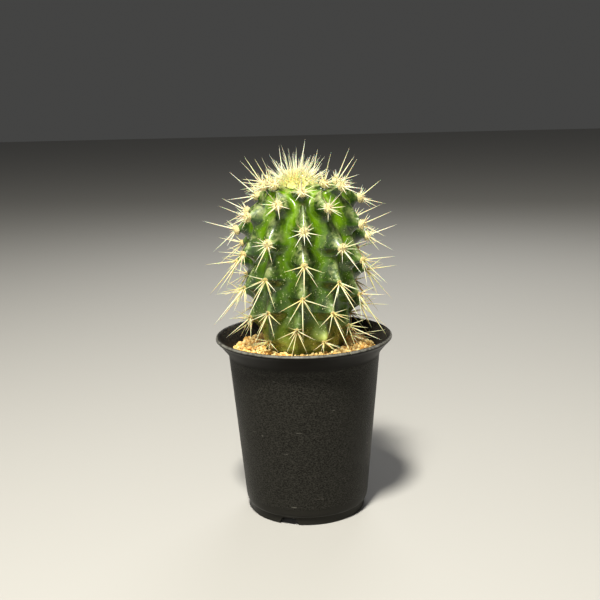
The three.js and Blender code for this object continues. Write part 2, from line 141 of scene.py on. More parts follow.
for name, place, size, watts, color in LAMPS:
    lamp = new_object(name, bpy.data.lights.new(name, "AREA"))
    lamp.data.shape, lamp.data.size, lamp.data.energy, lamp.data.color = "DISK", size, watts, color
    aim = LAMP_TARGET - Vector(place)
    lamp.matrix_world = Matrix.Translation(place) @ aim.to_track_quat("-Z", "Y").to_matrix().to_4x4()
world = bpy.data.worlds.new("pale_world")
world.use_nodes = True
plug(world.node_tree.nodes["Background"], {"Color": WORLD_COLOR, "Strength": WORLD_STRENGTH})
bpy.context.scene.world = world
bpy.context.scene.view_settings.view_transform = "Standard"
print(len(LAMPS), "lamps over a floor of", 2 * FLOOR_REACH * MM, "m")

# %% [markdown]
# ## Trees that grow geometry
# A Geometry Nodes tree is a recipe that a modifier follows. Each tree here takes some geometry and a few
# named inputs, and its result is kept as plain mesh at once, so that nothing live is left on the piece.

# %% Starting a tree and growing a piece with it
def new_geometry_tree(name, source, inputs):
    """An empty tree that takes geometry and named inputs. Returns the tree and its input node's sockets."""
    tree = bpy.data.node_groups.new(name, "GeometryNodeTree")
    tree.interface.new_socket(source, in_out="INPUT", socket_type="NodeSocketGeometry")
    for label, value in inputs.items():
        kind = "NodeSocket" + {int: "Int", float: "Float"}.get(type(value), "Material")
        tree.interface.new_socket(label, in_out="INPUT", socket_type=kind).default_value = value
    tree.interface.new_socket("Result", in_out="OUTPUT", socket_type="NodeSocketGeometry")
    return tree, add(tree, "NodeGroupInput").outputs


def bake(piece):
    """Turns a piece's modifiers into plain mesh."""
    depsgraph = bpy.context.evaluated_depsgraph_get()
    mesh = bpy.data.meshes.new_from_object(piece.evaluated_get(depsgraph))
    piece.modifiers.clear()
    piece.data = mesh


def grow(piece, tree, **inputs):
    """Runs a tree on a piece, with its named inputs set by their identifiers, and keeps the plain mesh."""
    modifier = piece.modifiers.new(tree.name, "NODES")
    modifier.node_group = tree
    for socket in tree.interface.items_tree:
        if socket.in_out == "INPUT" and socket.name in inputs:
            modifier[socket.identifier] = inputs[socket.name]
    bake(piece)


def maths(operation, first, second=0.0):
    return chain("ShaderNodeMath", {0: first, 1: second}, operation=operation).outputs[0]


def times(product, *factors):
    for factor in factors:
        product = maths("MULTIPLY", product, factor)
    return product


def moved(geometry, how, vector):
    """Geometry with its points moved, where how is Position or Offset."""
    return chain("GeometryNodeSetPosition", {"Geometry": geometry, how: vector}).outputs[0]


# %% [markdown]
# ## Turning a profile
# The pot and its fill are both turned shapes. Blender's Screw modifier could turn them, but a small tree
# shows what turning is: a flat grid is rolled up, and each of its rows takes its radius and height from one
# point of the profile. The profile is a closed line, so the grid's last row meets its first, and merging by
# distance closes the seam and the poles.

# %% Turning a profile
def bend(start, corner, end, steps):
    """Points of a rounded corner after its start, as a quadratic Bezier curve."""
    ts = [(k + 1) / steps for k in range(steps)]
    return [tuple((1 - t) ** 2 * a + 2 * t * (1 - t) * b + t * t * c for a, b, c in zip(start, corner, end))
            for t in ts]


def lathe_tree():
    """A tree that turns a line of points, each a radius and a height, about Z."""
    tree, given = new_geometry_tree("turned_profile", "Profile", {"Rows": 2, "Columns": 144})
    lines = maths("ADD", given["Columns"], 1.0)
    grid = chain("GeometryNodeMeshGrid", {"Vertices X": lines, "Vertices Y": given["Rows"]})
    index = add(tree, "GeometryNodeInputIndex").outputs[0]
    column = maths("FLOOR", maths("DIVIDE", index, given["Rows"]))
    row = maths("MODULO", index, given["Rows"])
    angle = times(maths("DIVIDE", column, given["Columns"]), 2 * math.pi)
    place = add(tree, "GeometryNodeInputPosition").outputs[0]
    point = chain("GeometryNodeSampleIndex", {"Geometry": given["Profile"], "Value": place, "Index": row},
                  data_type="FLOAT_VECTOR").outputs["Value"]
    turned = chain("ShaderNodeVectorRotate", {"Vector": point, "Angle": angle}, rotation_type="Z_AXIS")
    shape = moved(grid.outputs["Mesh"], "Position", turned.outputs[0])
    closed = chain("GeometryNodeMergeByDistance", {"Geometry": shape, "Distance": 1e-6})
    add(tree, "NodeGroupOutput", {"Result": closed.outputs[0]})
    return tree


LATHE = lathe_tree()


def turn(name, profile):
    """A closed solid turned from (radius, height) points in mm, which run outwards along the bottom first."""
    piece = new_piece(name, [(r, 0, z) for r, z in profile], [(k, k + 1) for k in range(len(profile) - 1)])
    grow(piece, LATHE, Rows=len(profile))
    solid = bmesh.new()
    solid.from_mesh(piece.data)
    bmesh.ops.recalc_face_normals(solid, faces=solid.faces)
    solid.to_mesh(piece.data)
    solid.free()
    piece.data.materials.clear()
    return piece


print("the lathe has", len(LATHE.nodes), "nodes")

# %% [markdown]
# ## The pot
# A nursery pot is one thin moulding of black plastic. Its wall tapers down to a rounded heel, and stands on a
# narrower foot ring with arched notches that let water out. At the top it flares into a wide lip with a
# rolled edge. The profile is drawn once, out and up the outside, over the lip, and down the inside.

# %% The pot's profile
LIP_RADIUS, POT_HEIGHT, WALL = 45.0, 92.0, 1.2
NECK_RADIUS, NECK_HEIGHT = 38.6, 82.4
HEEL_RADIUS, HEEL_HEIGHT = 32.0, 9.5
FOOT_RADIUS, FOOT_WIDTH, FOOT_STEP = 29.8, 2.2, 4.4
FLOOR_UNDERSIDE = 3.8
LIP_BEAD = 1.1
WALL_RINGS, BEAD_STEPS, BEAD_FROM, BEAD_TO = 10, 12, -0.4, 0.85 * math.pi


def pot_profile():
    floor_top = FLOOR_UNDERSIDE + WALL
    bead_r, bead_z = LIP_RADIUS - LIP_BEAD, POT_HEIGHT - LIP_BEAD
    foot_in = FOOT_RADIUS - FOOT_WIDTH
    line = [(0, FLOOR_UNDERSIDE), (foot_in - 1.2, FLOOR_UNDERSIDE)]
    line += bend(line[-1], (foot_in - 0.4, FLOOR_UNDERSIDE), (foot_in - 0.3, 3.0), 4)
    line += [(foot_in, 0.3), (foot_in + 0.3, 0), (FOOT_RADIUS - 0.3, 0), (FOOT_RADIUS, 0.3)]
    line += [(FOOT_RADIUS + 0.2, FOOT_STEP - 0.5)]
    line += bend(line[-1], (FOOT_RADIUS + 0.3, FOOT_STEP), (FOOT_RADIUS + 0.9, FOOT_STEP + 0.3), 4)
    line += bend(line[-1], (HEEL_RADIUS - 0.3, FOOT_STEP + 1.0), (HEEL_RADIUS, HEEL_HEIGHT), 8)
    line += [(HEEL_RADIUS + (NECK_RADIUS - HEEL_RADIUS) * k / WALL_RINGS,
              HEEL_HEIGHT + (NECK_HEIGHT - HEEL_HEIGHT) * k / WALL_RINGS) for k in range(1, WALL_RINGS + 1)]
    line += bend(line[-1], (NECK_RADIUS + 0.6, NECK_HEIGHT + 2), (bead_r + 0.3, bead_z - LIP_BEAD), 10)
    angles = [BEAD_FROM + (BEAD_TO - BEAD_FROM) * k / BEAD_STEPS for k in range(BEAD_STEPS + 1)]
    line += [(bead_r + LIP_BEAD * math.cos(a), bead_z + LIP_BEAD * math.sin(a)) for a in angles]
    line += bend(line[-1], (NECK_RADIUS - WALL + 0.9, NECK_HEIGHT + 2.6),
                 (NECK_RADIUS - WALL, NECK_HEIGHT - 0.4), 10)
    line += [(HEEL_RADIUS - WALL, HEEL_HEIGHT + 0.4)]
    line += bend(line[-1], (HEEL_RADIUS - WALL - 0.4, floor_top), (HEEL_RADIUS - 5, floor_top), 6)
    return line + [(0, floor_top), (0, FLOOR_UNDERSIDE)]


pot = turn("nursery_pot", pot_profile())
print("pot is", round(2 * LIP_RADIUS), "mm across its lip and", round(pot.dimensions.z / MM, 1), "mm high")

# %% [markdown]
# The notches and drain holes are cut with a Boolean modifier, as a mould's pins leave them out. The cutters
# are made, used and thrown away.

# %% The pot's notches and drain holes
NOTCHES, NOTCH_TURN, NOTCH_WIDTH, NOTCH_HEIGHT = 3, -18.7, 10.8, 3.6
DRAIN_HOLES, DRAIN_RING, DRAIN_RADIUS, CENTRE_HOLE = 6, 17.0, 3.0, 4.5


def notch_cutter(turn_deg):
    half = NOTCH_WIDTH / 2
    arch = [(-half, -1), (half, -1)]
    arch += bend(arch[-1], (half * 0.8, NOTCH_HEIGHT), (half * 0.45, NOTCH_HEIGHT), 6)
    arch += [(-half * 0.45, NOTCH_HEIGHT)]
    arch += bend(arch[-1], (-half * 0.8, NOTCH_HEIGHT), (-half, -1), 6)[:-1]
    rotation = Matrix.Rotation(math.radians(turn_deg), 4, "Z")
    cutter = bmesh.new()
    loops = [[cutter.verts.new(rotation @ Vector((x * MM, y * MM, z * MM))) for x, z in arch]
             for y in (-FOOT_RADIUS - 3, -FOOT_RADIUS + 5)]
    cutter.faces.new(loops[0])
    cutter.faces.new(loops[1][::-1])
    for k in range(len(arch)):
        after = (k + 1) % len(arch)
        cutter.faces.new((loops[0][after], loops[0][k], loops[1][k], loops[1][after]))
    return cutter


def hole_cutter(radius, x, y):
    cutter = bmesh.new()
    place = Matrix.Translation((x * MM, y * MM, (FLOOR_UNDERSIDE + WALL / 2) * MM))
    bmesh.ops.create_cone(cutter, cap_ends=True, segments=32, radius1=radius * MM, radius2=radius * MM,
                          depth=WALL * 3 * MM, matrix=place)
    return cutter


def cut(piece, cutters):
    for k, cutter in enumerate(cutters):
        bmesh.ops.recalc_face_normals(cutter, faces=cutter.faces)
        mesh = bpy.data.meshes.new(f"cutter_{k}")
        cutter.to_mesh(mesh)
        cutter.free()
        tool = new_object(mesh.name, mesh)
        boolean = piece.modifiers.new("cut", "BOOLEAN")
        boolean.object = tool
        boolean.solver = "EXACT"
        bake(piece)
        bpy.data.objects.remove(tool)


ring = [2 * math.pi * k / DRAIN_HOLES for k in range(DRAIN_HOLES)]
cutters = [notch_cutter(NOTCH_TURN + 360 / NOTCHES * k) for k in range(NOTCHES)]
cutters += [hole_cutter(DRAIN_RADIUS, DRAIN_RING * math.cos(a), DRAIN_RING * math.sin(a)) for a in ring]
cutters.append(hole_cutter(CENTRE_HOLE, 0, 0))
cut(pot, cutters)
print("cut", len(cutters), "openings")

# %% [markdown]
# ## Materials
# Each finish is a Principled shader with a few patterns in front of it. All patterns are read from Object
# coordinates, in metres, so a scale of 2000 means a grain of about half a millimetre.

# %% Starting a finish, and its patterns
def new_finish(name):
    """An empty finish: its material, its tree, and the Object coordinates that all its patterns read."""
    material = bpy.data.materials.new(name)
    material.use_nodes = True
    return material, material.node_tree, add(material.node_tree, "ShaderNodeTexCoord").outputs["Object"]


def finished(material, inputs):
    """Plugs a finish into its shader. A value that is the same all over is set on the shader's own socket."""
    plug(material.node_tree.nodes["Principled BSDF"], inputs)
    print(material.name, "has", len(material.node_tree.nodes), "nodes")
    return material


def noise(place, scale, detail=3.0, distortion=0.0):
    return chain("ShaderNodeTexNoise",
                 {"Vector": place, "Scale": scale, "Detail": detail, "Distortion": distortion}).outputs["Fac"]


def cells(place, scale, feature="F1"):
    """How far each place is from the middle of its cell, in a random pattern of cells."""
    pattern = chain("ShaderNodeTexVoronoi", {"Vector": place, "Scale": scale}, feature=feature)
    return pattern.outputs["Distance"]


def spread(value, low, high, out_low=0.0, out_high=1.0):
    """The part of a value between low and high, stretched to the range between out_low and out_high."""
    return chain("ShaderNodeMapRange", {"Value": value, "From Min": low, "From Max": high,
                                        "To Min": out_low, "To Max": out_high}).outputs["Result"]


def vectors(operation, first, second=(0.0, 0.0, 0.0)):
    return chain("ShaderNodeVectorMath", {0: first, 1: second}, operation=operation).outputs


def upward(vector):
    return chain("ShaderNodeSeparateXYZ", {0: vector}).outputs["Z"]


def attribute(tree, name):
    return add(tree, "ShaderNodeAttribute", attribute_name=name).outputs["Fac"]


# %% [markdown]
# Colours are laid on as a painter lays coats: each one covers what lies under it, but only where its own
# pattern says so. They are written from 0 to 255, as a screen shows them, because that is how most people
# know colours.

# %% Coats of colour, and relief
def srgb(r, g, b):
    """A colour as a screen shows it, 0 to 255, in the linear values that a shader wants."""
    linear = [(c / 255 / 12.92) if c <= 10 else ((c / 255 + 0.055) / 1.055) ** 2.4 for c in (r, g, b)]
    return (*linear, 1)


def blend_colors(share, first, second):
    return chain("ShaderNodeMix", {0: share, 6: first, 7: second}, data_type="RGBA").outputs[2]


def paint(color, *coats):
    """Lays coats over a colour. Each has its cover, from 0 to 1, and its red, green and blue."""
    for cover, *shade in coats:
        color = blend_colors(cover, color, srgb(*shade))
    return color


def relief(height, strength, depth):
    """A fine relief for the shader's Normal, with its depth in metres."""
    return chain("ShaderNodeBump", {"Strength": strength, "Distance": depth, "Height": height}).outputs[0]


# %% [markdown]
# The pot's wall is pebbled, with grains of less than a millimetre, whose paler tops are painted glints. The
# flare and the lip are smooth, and so is the foot, which is a little paler. The rolled bead's outer shoulder
# carries a painted highlight, broken up by noise. Dust has settled wherever the plastic looks up, and the
# wall has a few pale scuffs. Each edge is the pair of heights, in metres, between which one surface gives way
# to the next.

# %% Black pebbled plastic
HEEL_EDGE, NECK_EDGE, FOOT_EDGE = (0.008, 0.010), (0.0835, 0.0815), (0.011, 0.008)
BEAD_EDGE, LIP_EDGE = (0.0896, 0.0904), (0.0885, 0.0905)
SHARP_FROM = 40


def black_plastic():
    material, tree, place = new_finish("black_plastic")
    normal = add(tree, "ShaderNodeNewGeometry").outputs["Normal"]
    height, facing = upward(place), upward(normal)
    on_wall = times(spread(height, *HEEL_EDGE), spread(height, *NECK_EDGE))
    drawn_out = vectors("MULTIPLY", place, (1.0, 1.0, 2.1))[0]
    pebbles = cells(drawn_out, 1250.0, "SMOOTH_F1")
    grain = maths("ADD", times(pebbles, 0.8), noise(drawn_out, 1600.0))
    # The paler tops of the pebble grains are painted glints.
    wall = paint(srgb(16, 15, 12), (spread(grain, 0.62, 1.05), 54, 53, 48))
    smooth = paint(srgb(18, 16, 13), (spread(height, *FOOT_EDGE), 40, 39, 35))
    patches = times(noise(place, 60.0, 6.0), noise(place, 900.0, 2.0))
    dust = times(spread(patches, 0.16, 0.42, 0.0, 0.5), spread(facing, 0.02, 0.5))
    radial = vectors("NORMALIZE", vectors("MULTIPLY", place, (1.0, 1.0, 0.0))[0])[0]
    outward = vectors("DOT_PRODUCT", normal, radial)["Value"]
    # A painted highlight on the bead's outer shoulder, broken up by noise.
    shoulder = times(spread(outward, 0.10, 0.55), spread(facing, -0.10, 0.35, 0.0, 0.85))
    broken_highlight = times(shoulder, spread(noise(place, 520.0, 4.0), 0.36, 0.60, 0.35, 1.0))
    bead = times(spread(height, *BEAD_EDGE), broken_highlight)
    strokes = cells(vectors("MULTIPLY", place, (45.0, 45.0, 260.0))[0], 1.0)
    scuffs = times(spread(strokes, 0.10, 0.04), spread(noise(place, 500.0, 4.0), 0.45, 0.6, 0.0, 0.6))
    color = paint(blend_colors(on_wall, smooth, wall),
                  (dust, 86, 83, 75), (bead, 132, 131, 124), (scuffs, 128, 126, 118))
    dull = spread(noise(place, 40.0), 0.3, 0.7, 0.38, 0.50)
    dull = maths("SUBTRACT", dull, spread(height, *LIP_EDGE, 0.0, 0.18))
    return finished(material, {"Base Color": color, "Roughness": dull, "Specular IOR Level": 0.08,
                               "Normal": relief(times(grain, on_wall), 0.6, 0.0003)})


pot.data.materials.append(black_plastic())
finish_piece(pot, "pot")
pot.data.set_sharp_from_angle(angle=math.radians(SHARP_FROM))

# %% [markdown]
# ## The granules
# The pot is filled with dry clay granules, of which only the top shows. One turned solid stands for the fill,
# with the hole that the plant's root neck stands in.

# %% The fill and its hole
SOIL_AT_STEM, SOIL_AT_WALL, SOIL_INNER, SOIL_EDGE = 85.8, 84.0, 23.4, 36.9
NECK_ROOM = [(21.2, 84.6), (17.8, 81.4), (8.8, 74.4), (5.0, 63.6), (0, 56.2)]
FILL_CLEARANCE, FILL_GAP, GRANULE_DEPTH = 0.35, 0.6, 1.0


def part(value):
    """A value, or each of many, held between 0 and 1."""
    return np.clip(value, 0, 1)


def soil_height(r):
    """The height of the granules' middles at a distance from the axis: a little heaped round the stem."""
    outwards = part((r - SOIL_INNER) / (SOIL_EDGE - SOIL_INNER))
    return SOIL_AT_STEM + (SOIL_AT_WALL - SOIL_AT_STEM) * outwards ** 2


floor_top = FLOOR_UNDERSIDE + WALL + FILL_CLEARANCE
fill_profile = [(0, floor_top), (HEEL_RADIUS - 6, floor_top), (HEEL_RADIUS - WALL - 1.2, HEEL_HEIGHT)]
fill_profile += [(NECK_RADIUS - WALL - FILL_GAP, NECK_HEIGHT - 1.4)]
fill_profile += [(SOIL_EDGE - 0.3, SOIL_AT_WALL - GRANULE_DEPTH)]
fill_profile += [(r, float(soil_height(r)) - GRANULE_DEPTH) for r in (33, 29, 25, 22.4)]
fill = turn("soil_fill", fill_profile + NECK_ROOM + [(0, floor_top)])
print("fill is", round(fill.dimensions.z / MM, 1), "mm high")

# %% [markdown]
# The granules on top of the fill are scattered by a tree: points are thrown on two thin beds, no closer to
# each other than a small granule is wide, and each takes a small ball that is turned, sized and dented at
# random. A ball of 80 faces is enough, because there are several hundred of them.

# %% The granules' beds
GRAIN_SIZE, GRAIN_SPACING, GRAIN_DENTS, GRAINS_PER_M2 = 2.35, 1.65, 0.95, 9e5
SMALLEST, LARGEST = (0.55, 0.55, 0.5), (1.25, 1.2, 0.95)
HEAP_PLACE, HEAP_HEIGHT, HEAP_WIDTH = (-25.0, 7.0), 1.8, 5.0
BEDS, BED_INNER, BED_RINGS, BED_TURNS = ((-0.4, 36.5), (0.8, 35.6)), 21.4, 8, 48


def granule_bed():
    """Two thin ring-shaped sheets, one a little above the other."""
    vertices, faces = [], []
    for lift, outer in BEDS:
        first = len(vertices)
        for r in np.linspace(BED_INNER, outer, BED_RINGS):
            for k in range(BED_TURNS):
                a = 2 * math.pi * k / BED_TURNS
                x, y = r * math.cos(a), r * math.sin(a)
                near = math.hypot(x - HEAP_PLACE[0], y - HEAP_PLACE[1]) / HEAP_WIDTH
                vertices.append((x, y, float(soil_height(r)) + lift + HEAP_HEIGHT * math.exp(-near**2)))
        for row in range(BED_RINGS - 1):
            for k in range(BED_TURNS):
                a, b = first + row * BED_TURNS + k, first + row * BED_TURNS + (k + 1) % BED_TURNS
                faces.append((a, a + BED_TURNS, b + BED_TURNS, b))
    return new_piece("soil_granules", vertices, faces=faces)


granules = granule_bed()
print("beds have", len(granules.data.polygons), "faces to throw granules on")

# %% [markdown]
# The tree's parts are named for what they do, because the felt pads and the spines will need most of them
# again: copies on points, a mark on each place, and a surface roughened by noise.

# %% The granules' tree
def marked(geometry, name, value):
    """Geometry that keeps a number at each point under a name, for later nodes and for the finish."""
    return chain("GeometryNodeStoreNamedAttribute", {"Geometry": geometry, "Name": name, "Value": value},
                 data_type="FLOAT", domain="POINT").outputs[0]


def copies(points, template, rotation, scale):
    """A real copy of a template on each point."""
    instances = chain("GeometryNodeInstanceOnPoints",
                      {"Points": points, "Instance": template, "Rotation": rotation, "Scale": scale})
    return chain("GeometryNodeRealizeInstances", {"Geometry": instances.outputs[0]}).outputs[0]


def scaled(vector, by):
    return chain("ShaderNodeVectorMath", {0: vector, "Scale": by}, operation="SCALE").outputs[0]


def roughened(geometry, scale, detail, depth):
    """Geometry that a noise pushes in and out along its normals."""
    tree = geometry.id_data
    lumps = noise(add(tree, "GeometryNodeInputPosition").outputs[0], scale, detail)
    lift = times(maths("SUBTRACT", lumps, 0.5), depth)
    return moved(geometry, "Offset", scaled(add(tree, "GeometryNodeInputNormal").outputs[0], lift))


def deliver(tree, given, geometry):
    """Ends a tree: the geometry takes the tree's material and goes out."""
    dressed = add(tree, "GeometryNodeSetMaterial", {"Geometry": geometry, "Material": given["Material"]})
    add(tree, "NodeGroupOutput", {"Result": dressed.outputs[0]})
    return tree


def random_between(tree, seed, low, high):
    inputs = {0: low, 1: high, "Seed": seed}
    return add(tree, "FunctionNodeRandomValue", inputs, data_type="FLOAT_VECTOR").outputs[0]


def granule_tree():
    tree, given = new_geometry_tree("granules", "Bed", {
        "Material": None, "Grain Size": GRAIN_SIZE * MM, "Spacing": GRAIN_SPACING * MM,
        "Dents": GRAIN_DENTS * MM, "Density": GRAINS_PER_M2, "Seed": 5})
    points = chain("GeometryNodeDistributePointsOnFaces",
                   {"Mesh": given["Bed"], "Distance Min": given["Spacing"], "Density Max": given["Density"],
                    "Seed": given["Seed"]}, distribute_method="POISSON").outputs["Points"]
    tone = add(tree, "FunctionNodeRandomValue", {"Seed": 11}, data_type="FLOAT").outputs[1]
    ball = add(tree, "GeometryNodeMeshIcoSphere", {"Radius": 0.5, "Subdivisions": 2}).outputs["Mesh"]
    turned = random_between(tree, 3, (0, 0, 0), (6.28, 6.28, 6.28))
    sized = random_between(tree, 7, SMALLEST, LARGEST)
    grains = copies(marked(points, "tone", tone), ball, turned, scaled(sized, given["Grain Size"]))
    return deliver(tree, given, roughened(grains, 640.0, 2.0, given["Dents"]))


# %% [markdown]
# Fired clay is matt and dusty. Each granule has a tone of its own, from cream to orange, with darker pores.
# The fill below is the same clay in shade, so it is browner.

# %% Dry clay
def dry_clay(name, pale, deep):
    material, tree, place = new_finish(name)
    pores, dust = noise(place, 1100.0, 5.0), noise(place, 420.0)
    color = paint(srgb(*pale), (attribute(tree, "tone"), *deep),
                  (spread(pores, 0.56, 0.76, 0.0, 0.7), 176, 112, 48),
                  (spread(dust, 0.5, 0.7, 0.0, 0.55), 244, 222, 172))
    return finished(material, {"Base Color": color, "Roughness": 0.92, "Normal": relief(pores, 0.7, 0.0004)})


fill.data.materials.append(dry_clay("shaded_clay", (150, 104, 52), (120, 80, 36)))
finish_piece(fill, "soil")
grow(granules, granule_tree(), Material=dry_clay("dry_clay", (255, 234, 164), (252, 194, 100)))
finish_piece(granules, "soil")

# %% [markdown]
# ## The plant's rule
# The stem is drawn as stations, one for each ring of areoles, from the root's tip to the growing tip. A
# station gives the radius and height of the groove between ribs, and how far a tubercle stands out of it.
# Twelve ribs run up the stem, and neighbouring ribs carry their areoles half a pitch apart. Each tubercle is
# a leaning cone: its upper side comes down slowly from the rib above, and its underside drops away at once.
# Writing the rule with numpy arrays means that the same function makes the whole skin, or places one pad.

# %% The plant's stations
STATIONS = np.array([
    (0, 57, 0), (4.2, 64, 0), (8, 75, 0), (16.6, 82, 0.5), (20.0, 87.4, 1.8), (20.6, 92.4, 4.6),
    (21.6, 99.7, 6.0), (22.9, 107.6, 7.2), (23.9, 115.6, 8.2), (24.5, 123.8, 9.0), (24.5, 132.3, 9.4),
    (24.4, 140.6, 9.6), (23.9, 148.6, 9.4), (22.4, 158.0, 8.8), (19.0, 164.4, 7.4), (15.2, 165.8, 5.2),
    (9.0, 166.8, 2.2), (0, 166.4, 0)])
FIRST_STATION, NECK_TOP, TIP_STATION, LAST_RING = -5, -1.5, 12, 10
RIBS, RIB_SPACING = 12, 30.0
PLANT_X = -0.8
BEND_MOST, BEND_AT, BEND_FALL = 3.6, 6.6, 0.26
CROWDING, RIGHT_SQUEEZE = 8.0, 15.0
CLIMB, SLIMMER, SHOULDER_PULL = 0.8, 0.055, 0.22
TIP_LEAN = 1.4
UPPER_SLOPE, UNDERCUT, TUBERCLE_WIDTH, ROUNDING = 1.55, 0.62, 1.32, 1.6
RIDGE_SHARE = 0.24
SWOLLEN_AT, SWOLLEN_WIDTH, SWOLLEN_BY = (30.0, 0.28), (7, 0.28), 1.3
RISE_FROM, RISE_OVER, RISE_POWER = 6.5, 5.5, 1.6


def station(n):
    """Groove radius, height and tubercle height at each n, on a smooth curve through the stations."""
    at = np.clip(np.asarray(n, float) - FIRST_STATION, 0, len(STATIONS) - 1)
    i = np.minimum(at.astype(int), len(STATIONS) - 2)
    t = (at - i)[..., None]
    a, b, c, d = (STATIONS[np.clip(i + k, 0, len(STATIONS) - 1)] for k in (-1, 0, 1, 2))
    blend = 0.5 * (2 * b + (c - a) * t + (2 * a - 5 * b + 4 * c - d) * t**2 + (3 * b - a - 3 * c + d) * t**3)
    return np.maximum(blend[..., 0], 0), blend[..., 1], np.maximum(blend[..., 2], 0)


def rise(n):
    """How steeply the flesh grows, in radians: level on the sides, and straight up at the growing tip."""
    return np.radians(90 * part((n - RISE_FROM) / RISE_OVER) ** RISE_POWER)


def has_areole(rib, n):
    """Whether a rib carries an areole in ring n: every second rib does, and the others in the next ring."""
    return ((rib + n) % 2 == 1) & (n >= 0) & (n <= LAST_RING)


print("stem has", RIBS, "ribs and", LAST_RING + 1, "rings of areoles")

# %% [markdown]
# Each tubercle falls away from its tip as a bell curve does, only more pointed, so that its foot runs out
# into the groove with no edge. The tubercles are joined by a soft maximum, so that they melt into each other
# as flesh does. A narrow keel is added along the middle of each upper side, because that line catches the
# light on the real plant.

# %% How far the flesh stands out of the groove
SOFTNESS = 5
FALL_RATE, FALL_POWER = 1.8, 1.35
KEEL, KEEL_WIDTH = 0.05, 0.17


def tubercle_shares(angle, n):
    """For each place: how high the flesh stands, as a share of a tubercle, and how near a crest line is."""
    angle, n = np.broadcast_arrays(np.asarray(angle, float), np.asarray(n, float))
    near = np.round(angle / RIB_SPACING).astype(int)
    total, keel = np.zeros(angle.shape), np.zeros(angle.shape)
    for rib in (near - 1, near, near + 1):
        across = np.abs(angle - rib * RIB_SPACING) / (RIB_SPACING / 2) / TUBERCLE_WIDTH
        for step in (-1, 0, 1, 2):
            tip = np.floor(n).astype(int) + step
            carries = has_areole(rib % RIBS, tip)
            along = np.where(n > tip, (n - tip) / UPPER_SLOPE, (tip - n) / UNDERCUT)
            away = (across**ROUNDING + along**ROUNDING) ** (1 / ROUNDING)
            total += np.exp(-SOFTNESS * (FALL_RATE * np.sqrt(away**2 + 0.003)) ** FALL_POWER) * carries
            crest = np.exp(-(across / KEEL_WIDTH) ** 2) * np.clip(1 - along * 0.9, 0, 1)
            keel = np.maximum(keel, crest * (carries & (n > tip)))
    ridge = 0.5 + 0.5 * np.cos(2 * np.pi * (angle / RIB_SPACING - near))
    height = RIDGE_SHARE * ridge + (1 - RIDGE_SHARE) * total ** (1 / SOFTNESS) + KEEL * keel
    return height, keel


# %% [markdown]
# No real plant is as even as its rule. The ribs lean and bend, the crowded ones near the tip close up, one
# old tubercle is swollen, and the left side has grown taller and slimmer than the right. Each of these is a
# small correction of its own, so that each can be set against the photograph by itself.

# %% How the plant departs from its rule
def sine(degrees):
    return np.sin(np.radians(degrees))


def azimuth_of(angle, n):
    """The real azimuth, from the front to the right, of a place whose ribs would stand at even spacing."""
    lean = BEND_MOST - BEND_FALL * (np.maximum(n, 0) - BEND_AT) ** 2
    crowding = part((n - 6) / 2) * np.cos(np.pi * (n - 10) / 2)
    at_nine = np.where(np.abs(n - 9) < 1, np.cos(np.pi * (n - 9) / 2), 0)
    squeeze = RIGHT_SQUEEZE * at_nine * np.maximum(0, sine(angle)) * sine(2 * angle)
    wander = 2.2 * sine(2 * angle) + 0.9 * np.sin(np.radians(5 * angle) - 1.3 * n)
    return np.radians(angle + lean + wander - squeeze + CROWDING * crowding * sine(3 * angle))


def leftness(angle):
    """From 0 on the plant's right to 1 on its left, where it has grown taller and slimmer."""
    return ((1 - sine(angle)) / 2) ** 5


def grown_to(angle, n):
    """The station that a place has really grown to, because the left side is ahead of the right."""
    return n + CLIMB * leftness(angle) * part((n + 2) / 2) * part((9.5 - n) / 3)


def swelling(angle, n):
    """How swollen a place is: one old tubercle at the front right has a round pale bulge above its areole."""
    across, up = (angle - SWOLLEN_AT[0]) / SWOLLEN_WIDTH[0], (n - SWOLLEN_AT[1]) / SWOLLEN_WIDTH[1]
    return np.exp(-across**2 - up**2)


def slimness(angle, n):
    """The share of its radius that the left side lacks, most of all at its shoulder."""
    shoulder = part((n - 6.5) / 1.5) * part((11.2 - n) / 1.5)
    return (SLIMMER + SHOULDER_PULL * shoulder) * leftness(angle)


def on_stem(angle, n, lift=0.0):
    """Places on the skin in mm, or lifted off it."""
    grown = grown_to(angle, n)
    radius, height, tubercle = station(grown)
    out = tubercle * tubercle_shares(angle, n)[0] + SWOLLEN_BY * swelling(angle, n) + lift
    sway = 0.7 * np.sin(np.radians(3 * angle) + 0.5 * n) * np.minimum(1, tubercle / 4)
    r = np.maximum(0, radius + out * np.cos(rise(grown))) * (1 - slimness(angle, n))
    z = height + out * np.sin(rise(grown)) + sway
    azimuth = azimuth_of(angle, n)
    x = PLANT_X - TIP_LEAN * part((n - 9) / 3) + r * np.sin(azimuth)
    return np.stack([x, -r * np.cos(azimuth), z], axis=-1)


print("front tips in mm:", np.round(on_stem(0.0, np.arange(1, LAST_RING, 2)), 1).tolist())

# %% [markdown]
# ## The skin
# The skin is a grid of rings round the stem between two poles. The grid also carries what the finish needs to
# know about each place: how high the flesh stands, how near the crest it is, how old it is, and how swollen.
# Storing that as attributes is simpler than guessing it again from coordinates inside the shader.

# %% The skin
SKIN_COLUMNS = RIBS * 22
SKIN_ROWS_PER_STATION, NECK_ROWS = 17, 12


